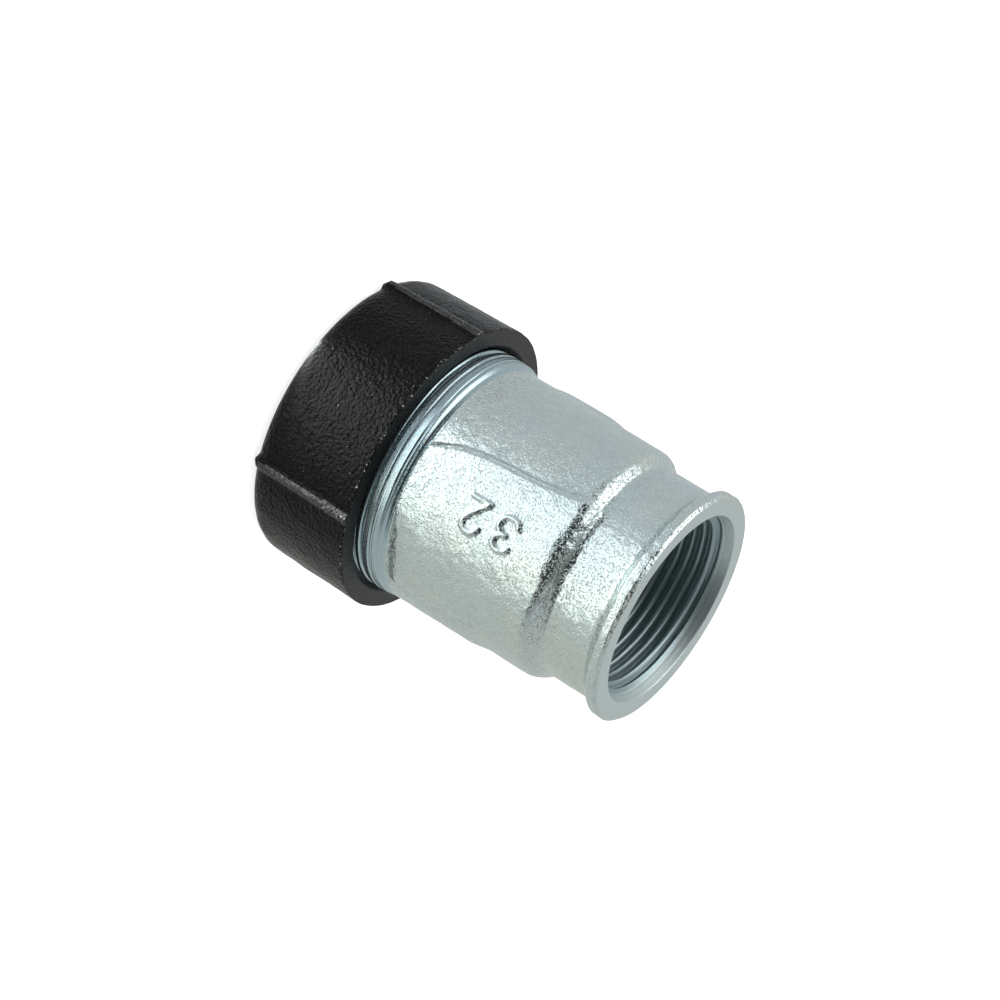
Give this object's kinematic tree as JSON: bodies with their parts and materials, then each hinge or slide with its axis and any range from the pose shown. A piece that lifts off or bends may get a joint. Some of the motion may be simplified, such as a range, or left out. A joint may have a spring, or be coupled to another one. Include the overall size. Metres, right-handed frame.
{
  "type": "pipe clamp coupling",
  "caption": "Compression coupling for steel pipe: galvanised iron body with female threaded end, black ribbed clamp nut, split toothed grip ring, washer and conical rubber seal.",
  "frame": {"origin": "centre of the clamp nut's flat rear face, on the pipe axis", "axes": "+Z along the pipe axis from the nut to the female threaded end; -Y faces the middle of the cast pad that the picture shows"},
  "size_m": [0.0674, 0.0674, 0.0857],
  "materials": {
    "galvanised_iron": "hot galvanised cast skin, machined end face and threads",
    "black_painted_iron": "satin black coating on a pebbled cast skin, worn at its edges",
    "grip_steel": "turned and yellow passivated",
    "washer_steel": "stamped and zinc plated",
    "seal_rubber": "moulded, matt"
  },
  "bodies": {
    "nut": {"clamp_nut": "black_painted_iron"},
    "rings": {"clamping_ring": "grip_steel", "pressure_ring": "washer_steel"},
    "fitting": {"coupling_body": "galvanised_iron", "sealing_ring": "seal_rubber"}
  },
  "joints": [
    {"name": "nut_thread_turn", "type": "hinge", "parent": "nut", "child": "rings", "pos_m": [0, 0, 0.02], "axis": [0, 0, -1], "range_deg": [-1800, 360]},
    {"name": "nut_thread_travel", "type": "slide", "parent": "rings", "child": "fitting", "axis": [0, 0, -1], "range_m": [-0.0101, 0.0021]}
  ],
  "couplings": [
    {"joint": "nut_thread_travel", "follows": "nut_thread_turn", "m_per_rad": 0.00031831}
  ]
}
